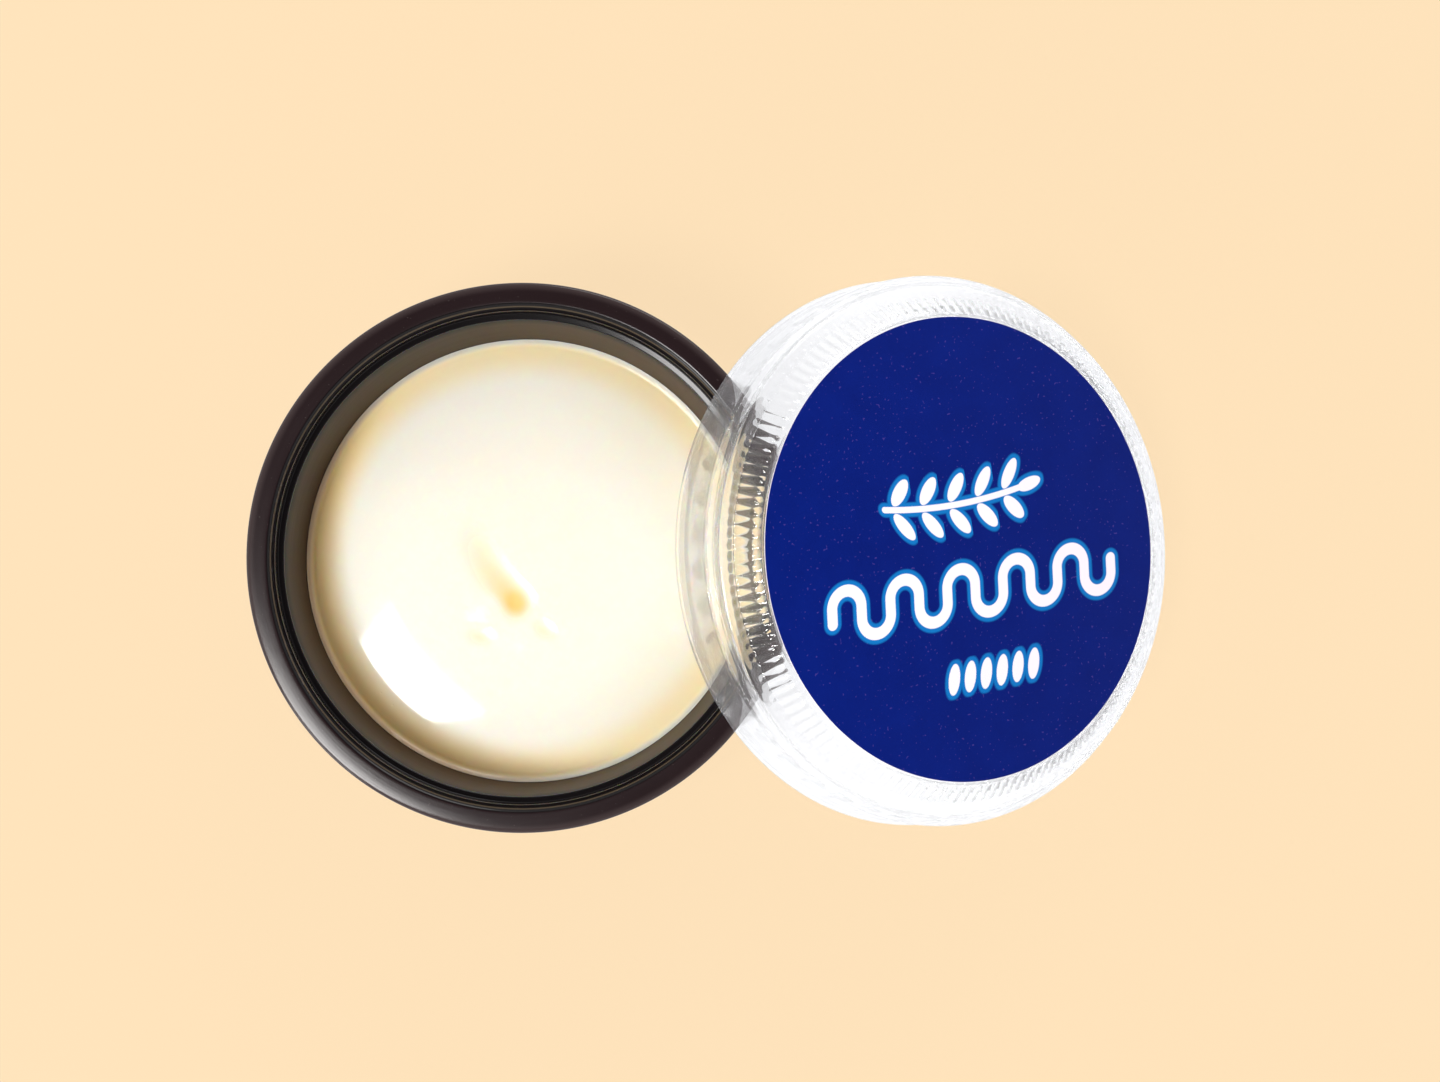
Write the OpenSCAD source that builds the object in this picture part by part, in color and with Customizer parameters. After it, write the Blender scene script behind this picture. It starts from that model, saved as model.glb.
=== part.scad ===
// Round portion pot of mayonnaise, open, with its clear press-on lid taken off
// and leaning on the rim. Millimetres. The origin is the centre of the pot's
// base, +Z is up and +X points from the pot to the low side of the lid.

/* [Pot] */
// Outer radius of the pot's rim
rim_r = 37.5; // [30:0.1:50]
// Height of the pot, from its base to the top of its rim
pot_h = 33.2; // [26:0.1:42]
// Thickness of the pot's wall
wall_t = 0.8; // [0.5:0.05:1.2]
// Thickness of the pot's floor
floor_t = 1; // [0.6:0.1:2]
// Radius of the rim's rounded outer edge
shoulder_r = 0.5; // [0.3:0.1:1.5]
// Width of the smooth crowned band on top of the rim, with that edge
band_w = 2.9; // [2.2:0.1:3.4]
// How far the band falls from its inner side to its rounded edge
band_fall = 0.22; // [0.05:0.01:0.4]
// Width of the slope that leads from the band into the throat
lead_w = 0.9; // [0.5:0.05:1.2]
// Height of that slope
lead_h = 1; // [0.4:0.05:1.1]
// Height of the collar that the rim turns down outside the wall
collar_h = 4.5; // [3:0.1:6]
// Depth of the stacking step below the rim
step_depth = 3; // [2:0.1:5]
// Width of the stacking step
step_w = 0.85; // [0.4:0.05:1.1]
// How far the stacking step falls towards the middle
step_fall = 0.18; // [0.05:0.01:0.3]
// Slope of the wall, in degrees from upright
draft = 5.1; // [1:0.1:8]
// Radius of the rounded edge round the base
base_round = 3; // [2:0.1:5]

/* [Mayonnaise] */
// Depth of the mayonnaise's edge below the rim
fill_depth = 17.5; // [8:0.1:20]
// How much the surface swells above its edge
crown = 1.1; // [0.2:0.1:2]
// Width of the rounded shoulder round the surface
crown_w = 9; // [4:0.5:14]
// Depth of the groove that the filling nozzle left
swirl_depth = 1.3; // [0.3:0.1:2]
// Half width of that groove
swirl_w = 1.7; // [1:0.1:3]
// Distance between the groove's two ends
swirl_len = 10.5; // [6:0.5:14]
// Clearance between the mayonnaise and the pot's wall
fill_gap = 0.05; // [0.02:0.01:0.1]

/* [Lid] */
// Clearance between the pot's rim and the lid's open mouth
mouth_gap = 0.4; // [0.2:0.05:1]
// Thickness of the lid's plastic
lid_t = 0.5; // [0.35:0.05:0.7]
// Height of the flared lip round the mouth
lip_h = 2; // [1:0.1:3]
// How far the lip flares out past the skirt
lip_flare = 0.4; // [0.1:0.05:0.6]
// Height of the skirt, from the mouth to its stop bead
skirt_h = 7.7; // [6:0.1:10]
// How far the wall steps in at the stop bead
stop_w = 0.8; // [0.3:0.05:1.2]
// Height of the short wall from the stop bead to the ledge
upper_h = 2.3; // [1.5:0.1:4]
// Width of the smooth ledge on top
ledge_w = 2.2; // [1.5:0.1:4]
// Height of the ribbed slope from the ledge to the top panel
slope_h = 2.85; // [1.5:0.05:4]
// Width of the ribbed slope
slope_w = 2.6; // [1.5:0.1:4]
// Number of small lugs inside the skirt
lug_count = 48; // [12:1:72]
// Height of a lug
lug_h = 3.6; // [2:0.1:5]
// How far a lug stands in from the skirt
lug_in = 0.5; // [0.2:0.05:0.8]
// Number of fine ribs on the slope
rib_count = 144; // [36:1:160]
// Radius of a rib
rib_r = 0.42; // [0.2:0.01:0.5]

/* [Label] */
// Margin between the label's edge and the edge of the top panel
label_margin = 0.4; // [0.2:0.1:6]
// Thickness of the label
label_t = 0.12; // [0.08:0.01:0.3]

/* [Lean] */
// How far the rim reaches into the leaning lid's mouth
lean_reach = 9.3; // [4:0.1:14]
// Clearance where the lid's lip rests on the rim
lean_gap = 0.06; // [0.02:0.01:0.2]

/* [Hidden] */
$fn = 96;

// points on an arc, from one angle to the other
function arc(x, y, r, from, to, steps = 8) =
    [for (i = [0:steps]) let (a = from + (to - from) * i / steps) [x + r * cos(a), y + r * sin(a)]];

// --- pot ---
rim_t = 1.2;                                        // thickness of the rim under its band
throat_r = rim_r - band_w - lead_w;                 // top of the upright throat
step_z = pot_h - step_depth;
step_r = throat_r - step_w - step_depth * tan(draft) / 2;   // inner wall at the step
floor_round = base_round - wall_t;
edge_from = 80;                                     // the rounded edge starts at this angle
edge_x = rim_r - shoulder_r;                        // centre of that round
edge_z = pot_h - band_fall - shoulder_r * sin(edge_from);
crown_run = edge_x + shoulder_r * cos(edge_from) - (rim_r - band_w);    // width of the crowned part

function inner_r(z) = step_r - (step_z - z) * tan(draft);   // inner wall below the step
function outer_r(z) = inner_r(z) + wall_t / cos(draft);     // outer wall below the step

// inner and outer rounds between the floor and the sloping wall
function floor_centre_r() = inner_r(floor_t + floor_round) - floor_round / cos(draft);
function base_centre_r() = outer_r(base_round) - base_round / cos(draft);

module pot() {
    throat_out = throat_r + wall_t;                 // outer face of the wall above the step
    color("#1d1a1c")
    rotate_extrude()
    polygon(concat(
        [[0, 0]],
        arc(base_centre_r(), base_round, base_round, -90, -draft),
        [[outer_r(step_z - 2 * wall_t), step_z - 2 * wall_t],
         [throat_out, step_z - wall_t],
         [throat_out, pot_h - rim_t],
         [rim_r - wall_t, pot_h - rim_t],
         [rim_r - wall_t, pot_h - collar_h],
         [rim_r, pot_h - collar_h]],
        arc(edge_x, edge_z, shoulder_r, 0, edge_from),
        [for (k = [0.75:-0.25:0]) [rim_r - band_w + crown_run * k, pot_h - band_fall * k * k]],
        [[throat_r, pot_h - lead_h],
         [throat_r - step_depth * tan(draft) / 2, step_z + step_fall],
         [step_r, step_z]],
        arc(floor_centre_r(), floor_t + floor_round, floor_round, -draft, -90),
        [[0, floor_t]]
    ));
}

// --- mayonnaise ---
fill_z = pot_h - fill_depth;                        // level of the mayonnaise's edge
fill_r = inner_r(fill_z) - fill_gap;                // radius of its surface
fill_sectors = 96;
fill_rings = 22;

// the groove's middle line is a shallow S that runs down and to the right
swirl_mid = [-4.3, -2.4];
swirl_turn = -62;
swirl_bow = 1.1;
function swirl_at(t) = let (a = swirl_len * t, b = swirl_bow * sin(180 * t * 2))
    swirl_mid + [a * cos(swirl_turn) - b * sin(swirl_turn), a * sin(swirl_turn) + b * cos(swirl_turn)];
swirl_steps = 9;
swirl_line = [for (i = [0:swirl_steps]) swirl_at(i / swirl_steps - 0.5)];

// small marks round the groove: place, half width, height
marks = [[-7.5, -11.3, 1.3, -0.5], [2.9, -11.3, 1.3, -0.5], [-8.4, -7.4, 1, 0.45], [-0.5, -12, 1, 0.45]];

function bell(d, w) = exp(-d * d / (w * w));
function groove(p) = swirl_depth * max([for (q = swirl_line) bell(norm(p - q), swirl_w)]);
function dabs(p, i = 0) = i == len(marks) ? 0
    : marks[i][3] * bell(norm(p - [marks[i][0], marks[i][1]]), marks[i][2]) + dabs(p, i + 1);
function swell(r) = let (k = min(1, (fill_r - r) / crown_w)) crown * sqrt(1 - (1 - k) * (1 - k));
function top_z(p) = fill_z + swell(norm(p)) - groove(p) + dabs(p);

module mayonnaise() {
    // radii and heights of the rings that follow the pot, from the floor to the edge
    side = concat(
        arc(floor_centre_r(), floor_t + floor_round, floor_round - fill_gap, -90, -draft, 4),
        [[fill_r, fill_z]]
    );
    // the floor's ring lies on the floor itself
    low = [for (i = [0:len(side) - 1]) i == 0 ? [side[0][0], floor_t] : side[i]];
    // rings of the surface, closer together near the middle
    top = [for (i = [fill_rings - 1:-1:1]) fill_r * pow(i / fill_rings, 1.15)];
    rings = concat(
        [for (s = low) [for (j = [0:fill_sectors - 1]) let (a = 360 * j / fill_sectors)
            [s[0] * cos(a), s[0] * sin(a), s[1]]]],
        [for (r = top) [for (j = [0:fill_sectors - 1]) let (a = 360 * j / fill_sectors, p = r * [cos(a), sin(a)])
            [p[0], p[1], top_z(p)]]]
    );
    count = len(rings);
    points = concat(
        [for (ring = rings) for (p = ring) p],
        [[0, 0, floor_t], [0, 0, top_z([0, 0])]]
    );
    floor_mid = count * fill_sectors;
    top_mid = floor_mid + 1;
    function at(i, j) = i * fill_sectors + j % fill_sectors;
    sides = [for (i = [0:count - 2]) for (j = [0:fill_sectors - 1]) each
        [[at(i, j), at(i + 1, j), at(i + 1, j + 1)], [at(i, j), at(i + 1, j + 1), at(i, j + 1)]]];
    ends = [for (j = [0:fill_sectors - 1]) each
        [[floor_mid, at(0, j), at(0, j + 1)], [top_mid, at(count - 1, j + 1), at(count - 1, j)]]];
    color("#fff6dc")
    polyhedron(points = points, faces = concat(sides, ends), convexity = 4);
}

// --- lid, in its own frame: mouth down on z = 0, axis on z ---
mouth_r = rim_r + mouth_gap;                        // inner radius of the mouth
lip_r = mouth_r + lid_t;                            // outer radius of the lip
skirt_r = lip_r - lip_flare;                        // outer radius of the skirt
upper_r = skirt_r - stop_w;                         // outer radius above the stop bead
ledge_z = skirt_h + upper_h;
corner_r = 0.6;                                     // round between the upper wall and the ledge
slope_r = upper_r - ledge_w;                        // outer edge of the ribbed slope
panel_r = slope_r - slope_w;                        // edge of the flat top panel
panel_z = ledge_z + slope_h;

module lid_shell() {
    rotate_extrude()
    polygon(concat(
        [[mouth_r, 0], [lip_r, 0],
         [skirt_r, lip_h],
         [skirt_r, skirt_h - stop_w / 2],
         [upper_r, skirt_h + stop_w / 2]],
        arc(upper_r - corner_r, ledge_z - corner_r, corner_r, 0, 90, 5),
        [[slope_r, ledge_z],
         [panel_r, panel_z],
         [0, panel_z],
         [0, panel_z - lid_t],
         [panel_r - lid_t / 2, panel_z - lid_t],
         [slope_r - lid_t / 2, ledge_z - lid_t],
         [upper_r - lid_t, ledge_z - lid_t],
         [upper_r - lid_t, skirt_h + stop_w / 2 - lid_t / 2],
         [skirt_r - lid_t, skirt_h - stop_w / 2 - lid_t / 2],
         [skirt_r - lid_t, lip_h]]
    ));
}

// a pointed lug on the skirt's inner face, its broad end under the stop bead
module lug() {
    half = PI * skirt_r / lug_count / 2;
    top = skirt_h - stop_w;
    translate([skirt_r - lid_t - lug_in, 0, 0])
    rotate([90, 0, 90])
    linear_extrude(lug_in + lid_t / 2)
    polygon([[-half, top], [-half / 4, top - lug_h], [half / 4, top - lug_h], [half, top]]);
}

// a half-sunk bar that runs down the slope
module rib() {
    lean = atan2(slope_w, slope_h);
    translate([slope_r, 0, ledge_z])
    rotate([0, -lean, 0])
    cylinder(h = norm([slope_w, slope_h]) - rib_r, r = rib_r, $fn = 24);
}

module lid_shape() {
    lid_shell();
    for (i = [0:lug_count - 1])
        rotate([0, 0, 360 * i / lug_count])
        lug();
    for (i = [0:rib_count - 1])
        rotate([0, 0, 360 * i / rib_count])
        rib();
}

// --- lean: the lip stands on the table and lies on the rim at two points ---
cross_x = rim_r - lean_reach;                       // line where the mouth crosses the rim
// tilt for a lip that meets the rim at radius r
function half_chord(r) = sqrt(r * r - cross_x * cross_x);
function mid_to_line(r) = sqrt(mouth_r * mouth_r - pow(half_chord(r), 2));
function tilt(r) = asin(pot_h / (lip_r + mid_to_line(r)));
// the lip passes the rim at this slope, so it touches the rounded edge there
pass_slope = atan2(sin(tilt(rim_r)) * rim_r, cross_x * cos(tilt(rim_r)) + mid_to_line(rim_r));
rest_r = edge_x - (pot_h - edge_z - shoulder_r / cos(pass_slope)) / tan(pass_slope) + lean_gap;
lid_tilt = tilt(rest_r);
low_x = cross_x + pot_h / tan(lid_tilt);            // where the lip stands on the table

module leaning() {
    translate([low_x - lip_r * cos(lid_tilt), 0, lip_r * sin(lid_tilt)])
    rotate([0, lid_tilt, 0])
    children();
}

module lid() {
    color("#dfe6ea", 0.45)
    leaning()
    lid_shape();
}

module label() {
    color("#0b1c86")
    leaning()
    translate([0, 0, panel_z])
    cylinder(h = label_t, r = panel_r - label_margin);
}

pot();
mayonnaise();
lid();
label();
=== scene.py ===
# %% [markdown]
# # A portion pot of mayonnaise, open, with its clear lid leaning on the rim
#
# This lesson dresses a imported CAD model. The CAD holds four solids at their real size: a black
# plastic pot, the mayonnaise in it, a clear press-on lid that stands on the table and leans on the
# rim, and the round blue label on the lid. Here each one is modelled again with finer edges and
# relief, in the same place, and gets a material worked out from maths nodes.

# %% Load the frame
import math

import bpy
from mathutils import Matrix, Vector


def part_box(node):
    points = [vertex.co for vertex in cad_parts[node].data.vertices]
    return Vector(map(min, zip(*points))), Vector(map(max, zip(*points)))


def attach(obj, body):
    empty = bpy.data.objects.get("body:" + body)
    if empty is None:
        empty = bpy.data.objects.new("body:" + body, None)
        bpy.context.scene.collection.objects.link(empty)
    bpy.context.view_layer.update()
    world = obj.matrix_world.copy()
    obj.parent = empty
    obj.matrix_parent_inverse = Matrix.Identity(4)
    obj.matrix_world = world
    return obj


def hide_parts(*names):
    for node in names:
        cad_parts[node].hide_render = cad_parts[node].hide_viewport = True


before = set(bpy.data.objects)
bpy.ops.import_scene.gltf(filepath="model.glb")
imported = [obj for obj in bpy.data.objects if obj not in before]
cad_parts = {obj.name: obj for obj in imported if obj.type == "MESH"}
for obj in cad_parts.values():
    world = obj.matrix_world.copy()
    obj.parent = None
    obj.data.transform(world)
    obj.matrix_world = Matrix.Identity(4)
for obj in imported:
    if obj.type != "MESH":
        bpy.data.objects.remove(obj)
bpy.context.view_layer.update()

# %% [markdown]
# ## Sizes
#
# The boxes of the CAD nodes give the outer sizes. The small sizes, such as the width of the rim's
# band, are the moulder's own and are written here once, in millimetres turned into metres.

# %% Sizes of the pot and its filling
MM = 0.001

pot_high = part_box("pot")[1]
rim_r = pot_high.x
rim_z = pot_high.z
wall = 0.8 * MM
floor_t = 1.0 * MM
band_w = 2.9 * MM
band_fall = 0.11 * MM
edge_round = 0.5 * MM
lead_w = 0.9 * MM
lead_h = 1.0 * MM
collar_h = 4.5 * MM
rim_t = 1.2 * MM
step_depth = 3.0 * MM
step_w = 0.85 * MM
step_fall = 0.18 * MM
draft = math.tan(math.radians(5.1))

throat_r = rim_r - band_w - lead_w
step_z = rim_z - step_depth
step_r = throat_r - step_w - step_depth * draft / 2


def inner_r(z):
    """Radius of the pot's inner wall at a height below the step."""
    return step_r - (step_z - z) * draft


fill_depth = 17.5 * MM
fill_gap = 0.03 * MM
fill_edge = rim_z - fill_depth
fill_r = inner_r(fill_edge) - fill_gap
print("rim", round(rim_r / MM, 2), "rim height", round(rim_z / MM, 2), "filling", round(fill_r / MM, 2))

# %% Sizes and place of the lid
label_low, label_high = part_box("label")
label_size = label_high - label_low
label_t = 0.12 * MM
label_r = label_size.y / 2
lid_tilt = math.atan2(
    2 * label_r * label_size.z - label_t * label_size.x,
    2 * label_r * label_size.x - label_t * label_size.z,
)
lid_t = 0.5 * MM
lip_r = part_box("lid")[1].y
mouth_r = lip_r - lid_t
lip_h = 2.0 * MM
skirt_r = lip_r - 0.4 * MM
skirt_h = 7.7 * MM
stop_w = 0.8 * MM
upper_r = skirt_r - stop_w
ledge_z = skirt_h + 2.3 * MM
slope_r = upper_r - 2.2 * MM
panel_r = slope_r - 2.6 * MM
panel_z = ledge_z + 2.85 * MM
lug_count = 48
ribs_per_lug = 3

lid_axis = Vector((math.sin(lid_tilt), 0, math.cos(lid_tilt)))
mouth_centre = (label_low + label_high) / 2 - lid_axis * (panel_z + label_t / 2)
print("lid tilt", round(math.degrees(lid_tilt), 2))
print("mouth centre", [round(v / MM, 2) for v in mouth_centre])

# %% [markdown]
# ## Drawing an outline and turning it
#
# Pot, filling and lid are all round, as if turned on a lathe. So each starts as one point that is
# extruded along half of its section, and the line is then spun round the axis. A cylinder with
# insets and extrusions would do too, but a section is easier to check against the real thing.
# Corners are rounded as the outline is worked out, because moulded plastic has no sharp edge, and
# an edge without a round never catches the light.


# %% Rounded outlines
def rounded(corners, steps=4):
    """An outline of (radius, height, round) corners, each round turned into a short arc."""
    line = []
    for i, (r, z, curve) in enumerate(corners):
        here = Vector((r, z))
        if curve == 0 or i in (0, len(corners) - 1):
            line.append(here)
            continue
        before = (Vector(corners[i - 1][:2]) - here).normalized()
        after = (Vector(corners[i + 1][:2]) - here).normalized()
        half = before.angle(after) / 2
        middle = here + (before + after).normalized() * curve / math.sin(half)
        start = here + before * curve / math.tan(half) - middle
        end = here + after * curve / math.tan(half) - middle
        sweep = math.atan2(start.x * end.y - start.y * end.x, start.dot(end))
        turns = max(2, math.ceil(steps * abs(sweep) / (math.pi / 2)))
        for k in range(turns + 1):
            a = sweep * k / turns
            spoke = Vector((
                start.x * math.cos(a) - start.y * math.sin(a),
                start.x * math.sin(a) + start.y * math.cos(a),
            ))
            line.append(middle + spoke)
    return line


def split(line, longest, from_r=0.0):
    """The same outline with more points on its straight stretches outside a radius."""
    fine = [line[0]]
    for a, b in zip(line, line[1:]):
        pieces = math.ceil((b - a).length / longest) if min(a.x, b.x) >= from_r else 1
        fine += [a.lerp(b, k / pieces) for k in range(1, pieces + 1)]
    return fine


# %% The lathe
def clear_selection():
    """Nothing selected, in object mode, so that the next operator acts on its own piece only."""
    if bpy.context.object and bpy.context.object.mode != "OBJECT":
        bpy.ops.object.mode_set(mode="OBJECT")
    bpy.ops.object.select_all(action="DESELECT")


def draw(name, line):
    """One point, extruded along the outline in the XZ plane. Leaves the piece in edit mode."""
    clear_selection()
    bpy.ops.mesh.primitive_plane_add(size=MM, enter_editmode=True)
    piece = bpy.context.object
    piece.name = name
    bpy.ops.mesh.select_all(action="SELECT")
    bpy.ops.mesh.merge(type="CENTER")
    bpy.ops.transform.translate(value=(line[0].x, 0, line[0].y))
    for a, b in zip(line, line[1:]):
        bpy.ops.mesh.extrude_vertices_move(TRANSFORM_OT_translate={"value": (b.x - a.x, 0, b.y - a.y)})
    return piece


def spin(steps, degrees=360.0, copies=False):
    """Turns what the piece holds about the Z axis, anticlockwise from above, and closes the seams."""
    bpy.ops.mesh.select_all(action="SELECT")
    angle = -math.radians(degrees)
    bpy.ops.mesh.spin(steps=steps, angle=angle, center=(0, 0, 0), axis=(0, 0, 1), dupli=copies)
    bpy.ops.mesh.select_all(action="SELECT")
    bpy.ops.mesh.remove_doubles(threshold=0.002 * MM)


def finish_piece(piece, angle=180.0):
    """Faces outwards, smooth where the surface turns by less than an angle, back in object mode."""
    bpy.ops.mesh.select_all(action="SELECT")
    bpy.ops.mesh.normals_make_consistent(inside=False)
    bpy.ops.object.mode_set(mode="OBJECT")
    if angle < 180:
        bpy.ops.object.shade_smooth_by_angle(angle=math.radians(angle))
    else:
        bpy.ops.object.shade_smooth()
    print(piece.name, len(piece.data.polygons), "faces")


# %% [markdown]
# ## The pot
#
# A thin injection-moulded pot. Its rim is a broad smooth band, crowned so gently that the eye reads
# it from its highlight alone, with a rounded edge that turns down into a collar. Inside, a slope
# leads from the band into a short throat, which drops to a small step where pots stack, and below
# the step the wall tapers to the floor.

# %% Turn the pot
base_r = inner_r(0) + wall * 1.05
band_in = rim_r - band_w

# The crown ends where the rounded edge begins, which takes up this share of its radius.
edge_share = 0.83
crown_run = band_w - edge_share * edge_round
crown_slope = 2 * band_fall / crown_run
crowned_band = [
    (band_in + crown_run * k / 10, rim_z - band_fall * (k / 10) ** 2, 0)
    for k in range(9, 1, -1)
]
pot_line = rounded([
    (0, 0, 0),
    (base_r, 0, 2.6 * MM),
    (inner_r(step_z - 1.6 * MM) + wall, step_z - 1.6 * MM, 0.6 * MM),
    (throat_r + wall, step_z - 0.8 * MM, 0.6 * MM),
    (throat_r + wall, rim_z - rim_t, 0.5 * MM),
    (rim_r - wall, rim_z - rim_t, 0.5 * MM),
    (rim_r - wall, rim_z - collar_h, 0.25 * MM),
    (rim_r, rim_z - collar_h, 0.3 * MM),
    (rim_r, rim_z - band_fall - crown_slope * (band_w - crown_run), edge_round),
    *crowned_band,
    (band_in, rim_z, 0.7 * MM),
    (throat_r, rim_z - lead_h, 0.3 * MM),
    (throat_r - step_depth * draft / 2, step_z + step_fall, 0.2 * MM),
    (step_r, step_z, 0.22 * MM),
    (inner_r(floor_t), floor_t, 2.2 * MM),
    (0, floor_t, 0),
], steps=6)
pot = draw("pot_turned", split(pot_line, 1.5 * MM, from_r=inner_r(0) - 3 * MM))
spin(256)
finish_piece(pot)

# %% [markdown]
# ## The mayonnaise
#
# The pot was filled by a nozzle from above. The cream stands a little higher in the middle, falls
# to a shallow trough near the wall and climbs the wall in a thin rim. Where the nozzle left, it
# drew a short S-shaped groove with a few dimples round it. The smooth part is turned like the pot,
# and the marks are pressed in: one point is picked and moved with proportional editing, so
# that its neighbours follow softly, as cream does.

# %% Turn the filling
crown = 1.9 * MM
trough_r = fill_r - 1.2 * MM
cling_h = 0.55 * MM


def surface_z(r):
    """Height of the smooth surface at a radius."""
    if r <= trough_r:
        return fill_edge - 0.2 * MM + crown * (1 - (r / trough_r) ** 4)
    up = (r - trough_r) / (fill_r - trough_r)
    return fill_edge - 0.2 * MM + cling_h * up ** 2.4 - crown * 0.1 * math.sin(math.pi * up)


surface_steps = 84
surface_line = [Vector((0, surface_z(0)))]
for k in range(1, surface_steps + 1):
    r = fill_r * (1 - (1 - k / surface_steps) ** 1.25)
    surface_line.append(Vector((r, surface_z(r))))
side_line = rounded([
    (fill_r, surface_z(fill_r), 0),
    (inner_r(floor_t) - fill_gap, floor_t, 2.2 * MM),
    (0, floor_t, 0),
])
mayonnaise = draw("mayonnaise_turned", surface_line + split(side_line[1:], 3 * MM, from_r=10 * MM))
spin(224)

# %% Press the marks
def press(x, y, depth, reach):
    """Moves the surface point nearest to (x, y) down by a depth, with its neighbours."""
    mesh = mayonnaise.data
    bpy.ops.object.mode_set(mode="OBJECT")
    aim = Vector((x, y))
    nearest = min(
        (v for v in mesh.vertices if v.co.z > fill_edge - 3 * MM),
        key=lambda v: (v.co.xy - aim).length_squared,
    )
    for layer in (mesh.vertices, mesh.edges, mesh.polygons):
        layer.foreach_set("select", [False] * len(layer))
    nearest.select = True
    bpy.ops.object.mode_set(mode="EDIT")
    bpy.ops.transform.translate(
        value=(0, 0, -depth),
        use_proportional_edit=True,
        proportional_edit_falloff="SMOOTH",
        proportional_size=reach,
    )


bpy.ops.mesh.select_mode(type="VERT")

# Swells and marks are each an x, a y, a depth and a reach in millimetres. One with a depth below
# zero stands up. The swirl gives places only, and it is pressed deeper and narrower along its way.
swells = [
    (5.5, -4.0, -0.15, 6.0), (8.5, 6.0, 0.15, 7.0), (-14.0, 6.0, 0.12, 7.0), (-10.0, 16.0, 0.2, 6.0),
]
for x, y, depth, reach in swells:
    press(x * MM, y * MM, depth * MM, reach * MM)
bpy.ops.object.mode_set(mode="OBJECT")
before_marks = [vertex.co.z for vertex in mayonnaise.data.vertices]
bpy.ops.object.mode_set(mode="EDIT")

swirl = [
    (-7.6, 4.4), (-7.3, 2.8), (-6.8, 1.2), (-6.0, -0.4), (-5.1, -1.9),
    (-4.1, -3.3), (-3.0, -4.5), (-2.0, -5.5), (-1.6, -6.8),
]
for k, (x, y) in enumerate(swirl):
    share = k / (len(swirl) - 1)
    depth = 0.045 + 0.115 * share
    reach = 5.4 - 1.4 * share
    press(x * MM, y * MM, depth * MM, reach * MM)
marks = [
    (-1.8, -6.2, 0.18, 2.6), (-7.5, -10.5, 0.20, 2.6), (-5.9, -11.2, 0.12, 2.3), (1.8, -9.9, 0.19, 2.4),
    (3.3, -10.6, 0.12, 2.2), (-6.9, -6.9, -0.14, 3.6), (-5.0, -6.8, -0.08, 2.8),
    (-0.7, -11.4, -0.12, 2.6),
]
for x, y, depth, reach in marks:
    press(x * MM, y * MM, depth * MM, reach * MM)

finish_piece(mayonnaise)
dip = mayonnaise.data.attributes.new("dip", "FLOAT", "POINT")
for vertex, level in zip(mayonnaise.data.vertices, before_marks):
    dip.data[vertex.index].value = (level - vertex.co.z) / MM
print("deepest mark", round(max(d.value for d in dip.data), 2), "mm")

# %% [markdown]
# ## The lid
#
# The lid is one thin clear moulding: a lip that flares round the mouth, a skirt with small pointed
# lugs that click under the pot's rim, a stop bead, a short wall, a smooth ledge, and a slope of fine
# ribs up to the flat panel that carries the label. All of it repeats 48 times, so one slice of 7.5
# degrees is made, with its lug and its three ribs, and is then spun round as copies. The ribs move
# both faces of the wall, as in a thin moulding; a lug only thickens it, on the inside.

# %% Turn one slice of the lid
slice_deg = 360 / lug_count
columns = 12
bead_r = skirt_r + 0.2 * MM
lid_line = rounded([
    (0, panel_z, 0),
    (panel_r, panel_z, 0.3 * MM),
    (slope_r, ledge_z, 0.22 * MM),
    (upper_r, ledge_z, 0.6 * MM),
    (upper_r, skirt_h + 0.35 * MM, 0.12 * MM),
    (bead_r, skirt_h + 0.1 * MM, 0.15 * MM),
    (bead_r, skirt_h - 0.3 * MM, 0.15 * MM),
    (skirt_r, skirt_h - 0.7 * MM, 0.2 * MM),
    (skirt_r, lip_h, 1.2 * MM),
    (lip_r, 0, 0.1 * MM),
    (mouth_r, 0, 0.1 * MM),
    (skirt_r - lid_t, lip_h, 1.0 * MM),
    (skirt_r - lid_t, skirt_h - 0.5 * MM, 0.2 * MM),
    (upper_r - lid_t, skirt_h, 0.2 * MM),
    (upper_r - lid_t, ledge_z - lid_t, 0.3 * MM),
    (slope_r - lid_t * 0.6, ledge_z - lid_t, 0.22 * MM),
    (panel_r - lid_t * 0.6, panel_z - lid_t, 0.2 * MM),
    (0, panel_z - lid_t, 0),
])
lid = draw("lid_moulded", split(lid_line, 0.5 * MM, from_r=panel_r - 1.5 * MM))
spin(columns, slice_deg)
lid.update_from_editmode()
print("slice of", len(lid.data.polygons), "faces")

# %% Ribs and a lug on the slice
slope_run = Vector((slope_r - panel_r, ledge_z - panel_z))
slope_out = Vector((-slope_run.y, slope_run.x)).normalized()
slope_out = slope_out if slope_out.x > 0 else -slope_out


def column_of(co):
    """Which radial column of the slice a point lies in, from 0 to columns."""
    return round(math.degrees(math.atan2(co.y, co.x)) / slice_deg * columns)


def move(piece, test, shift):
    """Selects the points of the slice that pass a test, and moves them together."""
    mesh = piece.data
    bpy.ops.object.mode_set(mode="OBJECT")
    picked = [test(v.co) for v in mesh.vertices]
    for layer in (mesh.edges, mesh.polygons):
        layer.foreach_set("select", [False] * len(layer))
    mesh.vertices.foreach_set("select", picked)
    bpy.ops.object.mode_set(mode="EDIT")
    if any(picked):
        bpy.ops.transform.translate(value=shift)
    return sum(picked)


bpy.ops.mesh.select_mode(type="VERT")
rib_h = 0.34 * MM
rib_parts = ((-0.12, 0.80, 1.0), (0.80, 0.92, 0.55))
per_rib = columns // ribs_per_lug
mid = math.radians(slice_deg / 2)


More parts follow.
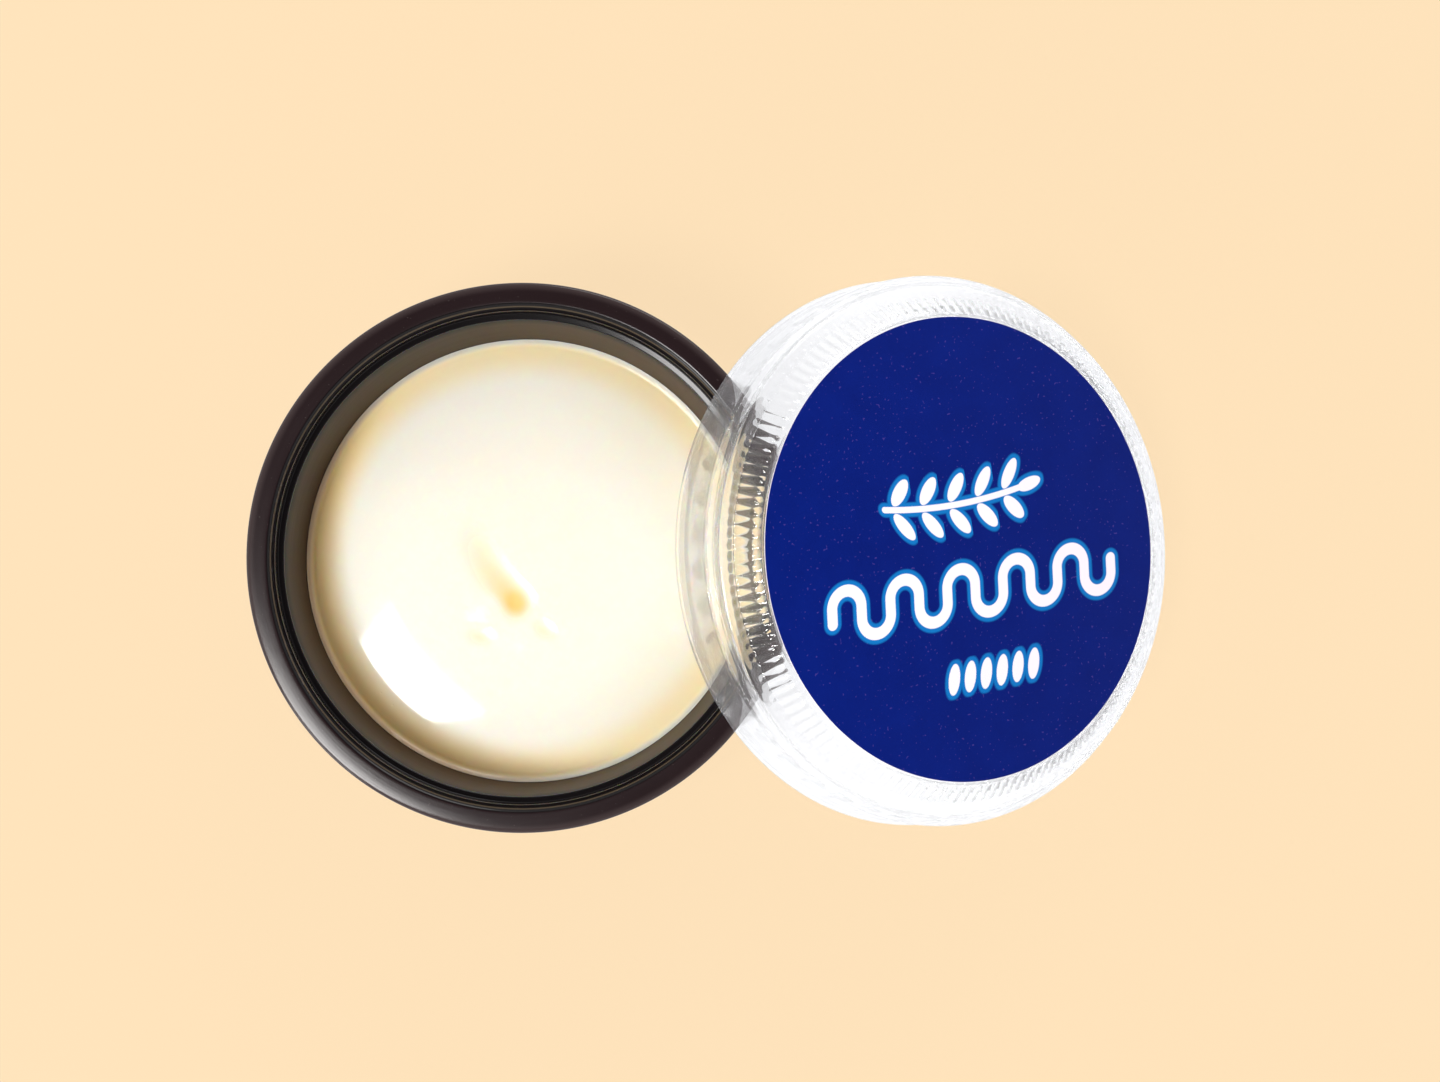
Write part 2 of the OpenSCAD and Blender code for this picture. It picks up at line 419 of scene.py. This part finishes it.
def on_slope(co, column, low, high):
    """True for a point on the ribbed slope, either face, between two shares of its height."""
    share = (co.z - ledge_z) / (panel_z - ledge_z)
    near = abs(co.xy.length - (slope_r - share * (slope_r - panel_r))) < lid_t * 1.3
    return near and low < share <= high and column_of(co) == column


moved = 0
for column in range(1, columns):
    swell = math.sin(math.pi * (column % per_rib) / per_rib) ** 0.8
    if swell < 0.05:
        continue
    a = math.radians(slice_deg * column / columns)
    for low, high, share in rib_parts:
        out = slope_out * rib_h * swell * share
        shift = (out.x * math.cos(a), out.x * math.sin(a), out.y)
        moved += move(lid, lambda co: on_slope(co, column, low, high), shift)
print("rib points on the slice", moved)

lug_top = skirt_h - 0.9 * MM
lug_low = skirt_h - 4.5 * MM
lug_in = 0.36 * MM
rows = 8
for row in range(rows):
    z0 = lug_low + (lug_top - lug_low) * row / rows
    z1 = lug_low + (lug_top - lug_low) * (row + 1) / rows
    share = (row + 1) / rows
    half = 0.6 + 2.6 * share

    def in_lug(co):
        side = abs(column_of(co) - columns / 2)
        inner_face = upper_r - 0.8 * MM < co.xy.length < skirt_r - lid_t / 2
        return z0 <= co.z < z1 and side <= half and inner_face

    inward = -lug_in * (0.35 + 0.65 * share)
    moved += move(lid, in_lug, (inward * math.cos(mid), inward * math.sin(mid), 0))
print("rib and lug points on the slice", moved)

# %% Spin the slice round, and lean the lid
bpy.ops.mesh.select_all(action="SELECT")
spin(lug_count - 1, 360 * (lug_count - 1) / lug_count, copies=True)
finish_piece(lid)


def lean(piece):
    """Turns a piece made on the Z axis into the lid's leaning place, and fixes it in the mesh."""
    clear_selection()
    piece.select_set(True)
    bpy.context.view_layer.objects.active = piece
    bpy.ops.object.transform_apply(location=True, rotation=True, scale=True)
    piece.rotation_euler = (0, lid_tilt, 0)
    piece.location = mouth_centre
    bpy.ops.object.transform_apply(location=True, rotation=True, scale=True)


lean(lid)

# %% [markdown]
# ## The label
#
# A round paper sticker. It is a disc with the thickness of paper. Its edges are broken by a tiny
# bevel so that the cut shows as a pale line, and its print is left to the material.

# %% Cut the label
clear_selection()
paper_t = label_t * 0.9
paper_middle = (0, 0, panel_z + label_t * 0.55)
bpy.ops.mesh.primitive_cylinder_add(vertices=256, radius=label_r, depth=paper_t, location=paper_middle)
label = bpy.context.object
label.name = "label_disc"
bpy.ops.object.mode_set(mode="EDIT")
bpy.ops.mesh.select_mode(type="EDGE")
bpy.ops.mesh.select_all(action="SELECT")
bpy.ops.mesh.bevel(offset=0.04 * MM, segments=2)
finish_piece(label, angle=50)
lean(label)

# %% [markdown]
# ## Writing materials as sums
#
# A material is a net of small nodes. Wires and boxes are hard to read as code, so a value that
# comes out of a node is wrapped in a class whose operators add the Math nodes: `1 - mask` is then
# a Math node set to subtract. Colours go through Mix nodes, because a Math node turns them grey.


# %% One value of a material
class Value:
    """A node's output that can be used in sums with numbers and other values."""

    def __init__(self, recipe, socket):
        self.recipe = recipe
        self.socket = socket

    def __add__(self, other):
        return self.recipe.maths("ADD", self, other)

    def __sub__(self, other):
        return self.recipe.maths("SUBTRACT", self, other)

    def __rsub__(self, other):
        return self.recipe.maths("SUBTRACT", other, self)

    def __mul__(self, other):
        return self.recipe.maths("MULTIPLY", self, other)

    def __truediv__(self, other):
        return self.recipe.maths("DIVIDE", self, other)

    __radd__ = __add__
    __rmul__ = __mul__


# %% One material
class Recipe:
    """A material, its nodes, and the places where its pattern is read."""

    def __init__(self, name):
        self.material = bpy.data.materials.new(name)
        self.material.use_nodes = True
        self.tree = self.material.node_tree
        self.tree.nodes.clear()

    def node(self, kind, settings=None, inputs=None, out=0):
        """Adds a node of a type, sets it up, feeds its sockets, and returns one output."""
        made = self.tree.nodes.new(kind)
        for key, value in (settings or {}).items():
            setattr(made, key, value)
        for key, value in (inputs or {}).items():
            if isinstance(value, Value):
                self.tree.links.new(value.socket, made.inputs[key])
            else:
                made.inputs[key].default_value = value
        return Value(self, made.outputs[out])

    def maths(self, operation, *values):
        """A Math node on numbers and values."""
        return self.node("ShaderNodeMath", {"operation": operation}, dict(enumerate(values)))

    def smooth(self, value, low, high, start=0.0, end=1.0):
        """Goes gently from start to end as the value goes from low to high."""
        settings = {"interpolation_type": "SMOOTHSTEP"}
        return self.node("ShaderNodeMapRange", settings, {0: value, 1: low, 2: high, 3: start, 4: end})

    def blend(self, share, first, second):
        """A colour between two colours."""
        return self.node("ShaderNodeMix", {"data_type": "RGBA"}, {0: share, 6: first, 7: second}, out=2)

    def place(self, inverse=None):
        """The object's own coordinates, or those of a frame that is turned and moved in them."""
        own = self.node("ShaderNodeTexCoord", out=3)
        if inverse is None:
            return own
        inputs = {"Location": inverse.to_translation(), "Rotation": inverse.to_euler("XYZ")}
        return self.node("ShaderNodeMapping", None, {"Vector": own, **inputs})

    def split(self, vector):
        """The x, y and z of a vector."""
        parts = self.node("ShaderNodeSeparateXYZ", None, {0: vector})
        return [Value(self, socket) for socket in parts.socket.node.outputs]

    def join(self, x, y, z):
        """A vector of three values."""
        return self.node("ShaderNodeCombineXYZ", None, {0: x, 1: y, 2: z})

    def noise(self, vector, scale, detail=3.0, rough=0.5):
        """Cloudy noise from 0 to 1."""
        inputs = {"Vector": vector, "Scale": scale, "Detail": detail, "Roughness": rough}
        return self.node("ShaderNodeTexNoise", None, inputs)

    def bump(self, height, strength, distance):
        """A normal tilted by a height, given in metres at full strength."""
        inputs = {"Height": height, "Strength": strength, "Distance": distance}
        return self.node("ShaderNodeBump", None, inputs)

    def end(self, shader):
        """The shader that the surface shows."""
        ending = self.tree.nodes.new("ShaderNodeOutputMaterial")
        self.tree.links.new(shader.socket, ending.inputs["Surface"])
        return self.material


def light_of(level):
    """How much light a screen gives at a level from 0 to 255, from 0 to 1."""
    if level <= 10:
        return level / 255 / 12.92
    return ((level / 255 + 0.055) / 1.055) ** 2.4


def rgb(red, green, blue):
    """A colour as eyes and screens count it, from 0 to 255, turned into light."""
    return (light_of(red), light_of(green), light_of(blue), 1.0)


# %% [markdown]
# ## The pot's plastic
#
# Black polypropylene, satin rather than shiny. The mould was turned on a lathe, so the rim and the
# walls carry very fine rings, which draw the highlight out into thin arcs. The rings are noise
# read only by radius and height, and a little dust and handling breaks them up. The rim's outer
# top edge is painted a little paler, a painted highlight for the light its rounded edge catches.
#
# Inside, the throat and the step are painted the deepest black, a painted shade, and two thin
# brown lines are painted on them as highlights of their rounded corners. Below the step the wall
# is matt and painted brown, a painted reflection of the warm cream. The inside is told from the
# outside by comparing the radius with that of the inner wall at the same height.


# %% Colours of the pot
BLACK = (0.0115, 0.0062, 0.0070, 1)
WARMER_BLACK = (0.0150, 0.0082, 0.0092, 1)
PAINTED_EDGE_HIGHLIGHT = (0.062, 0.045, 0.045, 1)
DUST = (0.25, 0.22, 0.20, 1)
THROAT_SHADE_BLACK = (0.0016, 0.0014, 0.0017, 1)
HIGHLIGHT_LINE_BROWN = (0.070, 0.050, 0.029, 1)
WALL_REFLECTION_BROWN = (0.036, 0.017, 0.007, 1)


# %% Pot material
def highlight_line_at(m, z, depth, half_w, core):
    """1 on a painted highlight line that lies at a depth in millimetres below the rim, and 0 on either
    side.
    """
    off = m.maths("ABSOLUTE", z - (rim_z - depth * MM))
    return m.smooth(off, half_w * MM, core * MM)


def pot_plastic():
    m = Recipe("pot_plastic")
    where = m.place()
    x, y, z = m.split(where)
    radius = m.maths("SQRT", x * x + y * y)
    angle = m.maths("ARCTAN2", y, x)
    ring_place = m.join(radius, z, angle * 0.0006)
    rings = m.noise(ring_place, 5200.0, 2.0, 0.6)
    broad = m.noise(ring_place, 1300.0, 2.0, 0.5)
    cloud = m.noise(where, 90.0, 3.0)
    dust = m.smooth(m.noise(where, 2600.0, 1.0), 0.72, 0.80)
    on_top = m.smooth(z, rim_z - 1.3 * MM, rim_z - 0.6 * MM)
    edge_highlight = m.smooth(radius, rim_r - 1.3 * MM, rim_r - 0.3 * MM) * on_top
    colour = m.blend(cloud, BLACK, WARMER_BLACK)
    # Painted highlight: the rim's outer top edge is painted paler where it catches the light.
    colour = m.blend(edge_highlight * 0.5, colour, PAINTED_EDGE_HIGHLIGHT)
    colour = m.blend(dust * 0.10, colour, DUST)
    above_step = m.smooth(z, step_z - 0.3 * MM, step_z - 0.1 * MM)
    on_slope = m.maths("MAXIMUM", z - (rim_z - lead_h), 0.0)
    mouth_line = on_slope * (lead_w / lead_h) + (throat_r + 0.15 * MM)
    in_throat = above_step * m.smooth(radius - mouth_line, 0.05 * MM, -0.05 * MM)
    inner_line = (z - step_z) * draft + step_r
    inner_face = m.smooth(radius - inner_line, wall * 0.6, wall * 0.4)
    inner_face = inner_face * m.smooth(z, floor_t * 0.5, floor_t * 0.9) * (1 - above_step)
    # Painted shade: the throat, the step and the wall below them are painted the deepest black.
    colour = m.blend((in_throat + inner_face) * 0.85, colour, THROAT_SHADE_BLACK)
    # Painted highlights: two thin brown lines on the throat's rounded corners.
    highlight_lines = in_throat * (highlight_line_at(m, z, 0.42, 0.14, 0.05) + highlight_line_at(m, z, 1.3, 0.34, 0.2))
    colour = m.blend(highlight_lines * 0.8, colour, HIGHLIGHT_LINE_BROWN)
    # Painted reflection: the wall below the step is painted brown for the warm cream it mirrors.
    in_well = inner_face * m.smooth(radius, step_r - 0.06 * MM, step_r - 0.32 * MM)
    colour = m.blend(in_well, colour, WALL_REFLECTION_BROWN)
    rough = 0.12 + inner_face * 0.38 + cloud * 0.05 + broad * 0.07
    relief = rings * 0.5 + broad * 0.5
    shader = m.node("ShaderNodeBsdfPrincipled", None, {
        "Base Color": colour,
        "Roughness": rough,
        "IOR": 1.49,
        "Specular IOR Level": 0.25,
        "Normal": m.bump(relief, 0.35, 0.02 * MM),
    })
    return m.end(shader)


# %% [markdown]
# ## The mayonnaise's cream
#
# Oil and egg in tiny drops: light goes in, wanders and comes out warm, and subsurface scattering
# gives the softness. The shade near the wall and inside the marks is painted in as gold, a painted
# shade that follows the wall and the "dip" that was saved when the marks were pressed, deepest on
# the side that lies in the wall's shadow. There the thin film that clings to the wall is painted
# brown, and on the lit side grey: painted shade and painted light. The middle is painted a little
# darker, the outer part paler and a ring on the right warmer: painted shade and light too.
# The surface is wet, so it keeps a clear gloss, with a few tiny air bubbles in patches, and only
# where the nozzle touched it is it a little matt.


# %% Colours of the cream
SHADED_MIDDLE = ((0.945, 0.855, 0.742, 1), (0.955, 0.870, 0.762, 1))
LIT_OUTER = ((0.990, 0.908, 0.80, 1), (0.993, 0.918, 0.82, 1))
PAINTED_WARM_LIGHT = (0.985, 0.86, 0.65, 1)
WALL_SHADE_GOLD = (0.99, 0.79, 0.48, 1)
SHADOW_SIDE_GOLD = (0.995, 0.69, 0.29, 1)
LIT_CLING_GREY = (0.58, 0.55, 0.49, 1)
SHADED_CLING_BROWN = (0.42, 0.27, 0.18, 1)
MARK_SHADE_GOLD = (0.97, 0.57, 0.15, 1)


# %% Mayonnaise material
def cream():
    m = Recipe("mayonnaise_cream")
    where = m.place()
    x, y, z = m.split(where)
    radius = m.maths("SQRT", x * x + y * y)
    wall_shade = m.smooth(radius, fill_r - 6.6 * MM, fill_r - 1.5 * MM)
    film = m.smooth(radius, fill_r - 1.0 * MM, fill_r - 0.2 * MM)
    # The side that lies in the shadow of the wall, used for painted shade.
    shadowed_side = m.smooth((x * -0.94 + y * -0.34) / radius, 0.0, 0.85)
    dipped = m.node("ShaderNodeAttribute", {"attribute_name": "dip"}, out=2)
    mark_shade = m.smooth(dipped, 0.0, 0.54)
    touched = m.smooth(m.maths("ABSOLUTE", dipped), 0.0, 0.30)
    cloud = m.noise(where, 120.0, 2.0)
    # Painted shade and light: the middle is painted a little darker and the outer part paler.
    middle = m.blend(cloud, *SHADED_MIDDLE)
    outer = m.blend(cloud, *LIT_OUTER)
    base = m.blend(m.smooth(radius, 6 * MM, 22 * MM), middle, outer)
    # Painted light: a ring on the right-hand side is painted warmer, as if lit warmer there.
    warm_light_ring = m.smooth(radius, 14 * MM, 26 * MM) * m.smooth(x, 0.0, 20 * MM)
    base = m.blend(warm_light_ring * 0.45, base, PAINTED_WARM_LIGHT)
    # Painted shade: the cream near the wall is painted gold, deepest on the side in the wall's shadow.
    shade_gold = m.blend(shadowed_side, WALL_SHADE_GOLD, SHADOW_SIDE_GOLD)
    colour = m.blend(wall_shade * 0.9, base, shade_gold)
    # Painted light and shade: the cling at the wall is painted grey on the lit side, brown on the
    # shadowed side.
    cling_light_and_shade = m.blend(shadowed_side, LIT_CLING_GREY, SHADED_CLING_BROWN)
    colour = m.blend(film * 0.9, colour, cling_light_and_shade)
    # Painted shade: the pressed marks are painted gold where they dip.
    colour = m.blend(mark_shade * 0.95, colour, MARK_SHADE_GOLD)
    fine = m.noise(where, 700.0, 2.0)
    wave = m.noise(where, 160.0, 1.0)
    nearest = m.node("ShaderNodeTexVoronoi", None, {"Vector": where, "Scale": 750.0})
    airy = m.smooth(m.noise(where, 95.0, 1.0), 0.60, 0.68)
    bubbles = m.smooth(nearest, 0.16, 0.06) * airy
    shader = m.node("ShaderNodeBsdfPrincipled", None, {
        "Base Color": colour,
        "Roughness": 0.06 + cloud * 0.04 + touched * 0.42,
        "IOR": 1.46,
        "Subsurface Weight": 0.6,
        "Subsurface Radius": (1.0, 0.62, 0.28),
        "Subsurface Scale": 1.6 * MM,
        "Normal": m.bump(fine * 0.3 + wave - bubbles * 1.5, 0.25, 0.05 * MM),
    })
    return m.end(shader)


# %% [markdown]
# ## The lid's clear plastic
#
# Thin polystyrene or PET: clear, with a faint milky haze from the mould and handling. Most of it is
# refraction through the modelled wall. So thin a wall bends light less than a solid lump does, so a
# share goes straight through, less of it in the ribs, and a touch of white scattering is added. The
# lamps' light passes straight through as well, so that the table and the pot below the lid stay lit.

# %% Lid material
CLEAR = (0.995, 0.997, 1.0, 1)
HAZES = ((0.90, 0.91, 0.93, 1), (0.96, 0.96, 0.97, 1))
LAMP_TINT = (0.96, 0.965, 0.97, 1)

lean_matrix = Matrix.Translation(mouth_centre) @ Matrix.Rotation(lid_tilt, 4, "Y")
lid_place = lean_matrix.inverted()


def clear_plastic():
    m = Recipe("lid_clear_plastic")
    where = m.place(lid_place)
    x, y, z = m.split(where)
    radius = m.maths("SQRT", x * x + y * y)
    angle = m.maths("ARCTAN2", y, x)
    flow = m.noise(m.join(radius, z, angle * 0.002), 900.0, 3.0)
    scuff = m.smooth(m.noise(where, 420.0, 4.0, 0.65), 0.55, 0.8)
    plastic = m.node("ShaderNodeBsdfPrincipled", None, {
        "Base Color": CLEAR,
        "Roughness": 0.02 + scuff * 0.05,
        "IOR": 1.5,
        "Transmission Weight": 1.0,
        "Normal": m.bump(flow, 0.04, 0.05 * MM),
    })
    haze = m.node("ShaderNodeBsdfPrincipled", None, {
        "Base Color": m.blend(scuff, *HAZES),
        "Roughness": 0.35,
        "IOR": 1.5,
    })
    outside_panel = m.smooth(radius, panel_r - 0.2 * MM, panel_r + 0.3 * MM)
    ribbed = outside_panel * m.smooth(z, ledge_z - 1.0 * MM, ledge_z)
    straight = m.node("ShaderNodeBsdfTransparent", None, {0: CLEAR})
    straight_share = 0.6 - ribbed * 0.5
    haze_share = 0.045 - ribbed * 0.035 + scuff * 0.03
    thin = m.node("ShaderNodeMixShader", None, {0: straight_share, 1: plastic, 2: straight})
    body = m.node("ShaderNodeMixShader", None, {0: haze_share, 1: thin, 2: haze})
    lamp_ray = m.node("ShaderNodeLightPath", out=1)
    through = m.node("ShaderNodeBsdfTransparent", None, {0: LAMP_TINT})
    return m.end(m.node("ShaderNodeMixShader", None, {0: lamp_ray, 1: body, 2: through}))


# %% [markdown]
# ## The label's print
#
# Deep blue ink on satin white paper. The place of the lettering holds plain shapes in white with a
# light blue edge: a leafy sprig, a line piped up and down like a border of cream, and a row of
# drops. Each shape is a distance, worked out from the label's own x and y, that is negative inside;
# the print is white where the distance is below zero and light blue just outside it.

# %% Place and inks of the print
INK_BLUES = (rgb(0, 17, 94), rgb(3, 28, 118))
INK_SPECK = rgb(90, 70, 150)
EDGING_BLUE = rgb(12, 108, 180)
PRINT_WHITE = rgb(236, 229, 238)
CUT_PAPER = rgb(232, 226, 236)

print_turn = math.radians(8.5)
label_frame = lean_matrix @ Matrix.Rotation(print_turn, 4, "Z")
label_place = label_frame.inverted()


# %% Shapes of the print
def length(m, a, b):
    """The length of a vector of two values."""
    return m.maths("SQRT", a * a + b * b)


def piped_line(m, u, v, half_turns, bend_r, straight, half_w):
    """Distance in millimetres to a line piped up and down in half turns, like a border of cream."""
    pitch = 2 * bend_r
    half_len = half_turns * bend_r
    cell = m.maths("FLOOR", (u + half_len) / pitch)
    cell = m.maths("MINIMUM", m.maths("MAXIMUM", cell, 0.0), half_turns - 1.0)
    across = m.maths("ABSOLUTE", u + half_len - cell * pitch - bend_r)
    up = v * (1 - 2 * m.maths("PINGPONG", cell, 1.0))
    over = up - straight
    under = up + straight
    side = m.maths("ABSOLUTE", bend_r - across)
    arc_over = m.maths("ABSOLUTE", length(m, across, over) - bend_r)
    arc_under = m.maths("ABSOLUTE", length(m, pitch - across, under) - bend_r)
    at_end = m.maths("GREATER_THAN", m.maths("ABSOLUTE", u), half_len - bend_r)
    low_part = length(m, side, under) * at_end + arc_under * (1 - at_end)
    is_over = m.maths("GREATER_THAN", over, 0.0)
    is_under = m.maths("LESS_THAN", under, 0.0)
    return arc_over * is_over + low_part * is_under + side * (1 - is_over - is_under) - half_w


def ellipse(m, along, across, half_len, half_w):
    """Distance in millimetres to an ellipse, close enough near its edge."""
    near = length(m, along / half_len, across / half_w)
    steep = length(m, along / half_len ** 2, across / half_w ** 2)
    return near * (near - 1) / steep


def row_of(m, u, count, pitch):
    """The distance along a row of equal places from the middle of the nearest place."""
    cell = m.maths("FLOOR", u / pitch + count / 2)
    cell = m.maths("MINIMUM", m.maths("MAXIMUM", cell, 0.0), count - 1.0)
    return u - (cell - (count - 1) / 2) * pitch


def sprig(m, u, v, leaf_pairs, pitch):
    """Distance in millimetres to a bowed stem with pairs of leaves and a leaf at its tip."""
    half_len = leaf_pairs * pitch / 2
    above = v - u * u * 0.007
    past = m.maths("MAXIMUM", m.maths("ABSOLUTE", u) - half_len, 0.0)
    stem = length(m, past, above) - 0.42
    along = row_of(m, u, leaf_pairs, pitch) - 0.5
    out = m.maths("ABSOLUTE", above) - 2.35
    turn = math.radians(52)
    length_way = along * math.cos(turn) + out * math.sin(turn)
    width_way = out * math.cos(turn) - along * math.sin(turn)
    leaves = ellipse(m, length_way, width_way, 2.2, 0.95)
    tip = ellipse(m, u - half_len - 1.3, above, 2.0, 0.9)
    return m.maths("MINIMUM", stem, m.maths("MINIMUM", leaves, tip))


# %% Label material
def label_print():
    m = Recipe("label_print")
    where = m.place(label_place)
    x, y, z = m.split(where)
    u = x / MM
    v = y / MM
    slant = u - v * 0.12
    leafy = sprig(m, u + 0.6, v - 6.2, 5, 4.6)
    piped = piped_line(m, slant - 1.4, v + 5.9, 10, 2.35, 0.9, 0.8)
    drops = ellipse(m, v + 17.4, row_of(m, u - v * 0.25 - 6.2, 6, 2.7), 2.1, 0.95)
    distance = m.maths("MINIMUM", leafy, m.maths("MINIMUM", piped, drops))
    white = m.smooth(distance, 0.08, -0.08)
    edging = m.smooth(distance, 0.75, 0.4)
    cloud = m.noise(where, 160.0, 4.0, 0.6)
    grain = m.noise(where, 3200.0, 2.0, 0.6)
    speck = m.smooth(m.noise(where, 2600.0, 0.0), 0.74, 0.82)
    blue = m.blend(cloud * 0.7 + grain * 0.3, *INK_BLUES)
    blue = m.blend(speck * 0.35, blue, INK_SPECK)
    colour = m.blend(edging, blue, EDGING_BLUE)
    colour = m.blend(white, colour, PRINT_WHITE)
    top = m.smooth(z, panel_z + label_t * 0.55, panel_z + label_t * 0.75)
    edge = m.smooth(length(m, x, y), label_r - 0.06 * MM, label_r - 0.01 * MM)
    colour = m.blend(top * (1 - edge), CUT_PAPER, colour)
    shader = m.node("ShaderNodeBsdfPrincipled", None, {
        "Base Color": colour,
        "Roughness": 0.46 + grain * 0.12,
        "IOR": 1.45,
        "Specular IOR Level": 0.06,
        "Normal": m.bump(grain + cloud, 0.2, 0.02 * MM),
    })
    return m.end(shader)


# %% Dress the pieces
def dress(piece, node, material):
    """Gives a piece its material and its place in the frame, and hides the CAD node it stands for."""
    piece.data.materials.clear()
    piece.data.materials.append(material)
    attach(piece, "root")
    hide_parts(node)


dress(pot, "pot", pot_plastic())
dress(mayonnaise, "mayonnaise", cream())
dress(lid, "lid", clear_plastic())
dress(label, "label", label_print())

# %% [markdown]
# ## The table, the light and the camera
#
# A plain pale table top. It shows beige to the eye, and gives back plain white light to whatever
# lies on it or is seen through something, as a white sheet in a photographer's tent does; that is
# what makes a clear lid stand out as a cool, light shape on a warm ground.

# %% Table
BEIGES = ((0.972, 0.747, 0.483, 1), (0.982, 0.760, 0.497, 1))


def table_top():
    m = Recipe("table_top")
    cloud = m.noise(m.place(), 9.0, 3.0)
    beige = m.blend(cloud, *BEIGES)
    paper = m.node("ShaderNodeBsdfDiffuse", None, {0: beige})
    even = m.node("ShaderNodeEmission", None, {0: beige, 1: 0.99})
    warm = m.node("ShaderNodeMixShader", None, {0: 0.93, 1: paper, 2: even})
    white = m.node("ShaderNodeBsdfDiffuse", None, {0: (0.88, 0.88, 0.89, 1)})
    glow = m.node("ShaderNodeEmission", None, {0: (0.93, 0.94, 0.96, 1), 1: 1.0})
    cool = m.node("ShaderNodeMixShader", None, {0: 0.75, 1: white, 2: glow})
    seen = m.node("ShaderNodeLightPath", out="Is Camera Ray")
    layers = m.node("ShaderNodeLightPath", out="Transparent Depth")
    bare = seen * (1 - m.maths("MINIMUM", layers, 1.0))
    return m.end(m.node("ShaderNodeMixShader", None, {0: bare, 1: cool, 2: warm}))


clear_selection()
bpy.ops.mesh.primitive_plane_add(size=8.0)
table = bpy.context.object
table.name = "table"
table.data.materials.append(table_top())

# %% [markdown]
# ## Sky and lamps
#
# The studio is dark overhead and bright low down all round, as under a black ceiling between white
# walls. The rim's flat band then stays black, and the lid's upright walls fill with light. A strong
# soft lamp stands high on the near left, a smaller one low on the left, and a broad one at the back,
# which fills the shadow under the near side of the rim.

# %% Sky
world = bpy.data.worlds.new("studio")
bpy.context.scene.world = world
world.use_nodes = True
sky = world.node_tree
sky.nodes.clear()
view_way = sky.nodes.new("ShaderNodeTexCoord")
parts = sky.nodes.new("ShaderNodeSeparateXYZ")
glow = sky.nodes.new("ShaderNodeMapRange")
glow.interpolation_type = "SMOOTHSTEP"
bright_below = 0.53
dark_above = 0.92
low_light = 1.08
top_light = 0.09
for socket, value in zip(list(glow.inputs)[1:5], (bright_below, dark_above, low_light, top_light)):
    socket.default_value = value
tent = sky.nodes.new("ShaderNodeBackground")
tent.inputs[0].default_value = (1.0, 0.985, 0.975, 1)
sky_out = sky.nodes.new("ShaderNodeOutputWorld")
sky.links.new(view_way.outputs["Generated"], parts.inputs[0])
sky.links.new(parts.outputs["Z"], glow.inputs[0])
sky.links.new(glow.outputs[0], tent.inputs[1])
sky.links.new(tent.outputs[0], sky_out.inputs[0])


# %% Lamps
def softbox(name, direction, distance, size, power, tint=(1, 1, 1)):
    """A rectangular lamp at a distance from the pot, facing it."""
    clear_selection()
    towards = Vector(direction).normalized()
    aim = Vector((0.02, 0, 0.02))
    bpy.ops.object.light_add(type="AREA", location=aim + towards * distance)
    lamp = bpy.context.object
    lamp.name = name
    lamp.rotation_euler = towards.to_track_quat("Z", "Y").to_euler()
    lamp.data.shape = "RECTANGLE"
    lamp.data.size, lamp.data.size_y = size
    lamp.data.energy = power
    lamp.data.color = tint


softbox("key", (-0.385, -0.25, 1.0), 1.0, (0.23, 0.34), 7.8, (1.0, 0.985, 0.965))
softbox("side", (-1.0, -0.78, 0.36), 0.9, (0.34, 0.24), 3.0)
softbox("back", (0.35, 1.0, 0.62), 1.2, (0.6, 0.4), 4.6, (1.0, 0.98, 0.96))

# %% Camera
height_over_rim = 0.4077
bpy.ops.object.camera_add(location=(0.0218, -0.0117, rim_z + height_over_rim))
camera = bpy.context.object
camera.name = "camera"
camera.rotation_euler = [math.radians(a) for a in (1.887, -0.691, -1.164)]
camera.data.lens = 74.9
camera.data.sensor_width = 36
camera.data.clip_start = 0.01
bpy.context.scene.camera = camera
bpy.context.scene.view_settings.view_transform = "Standard"
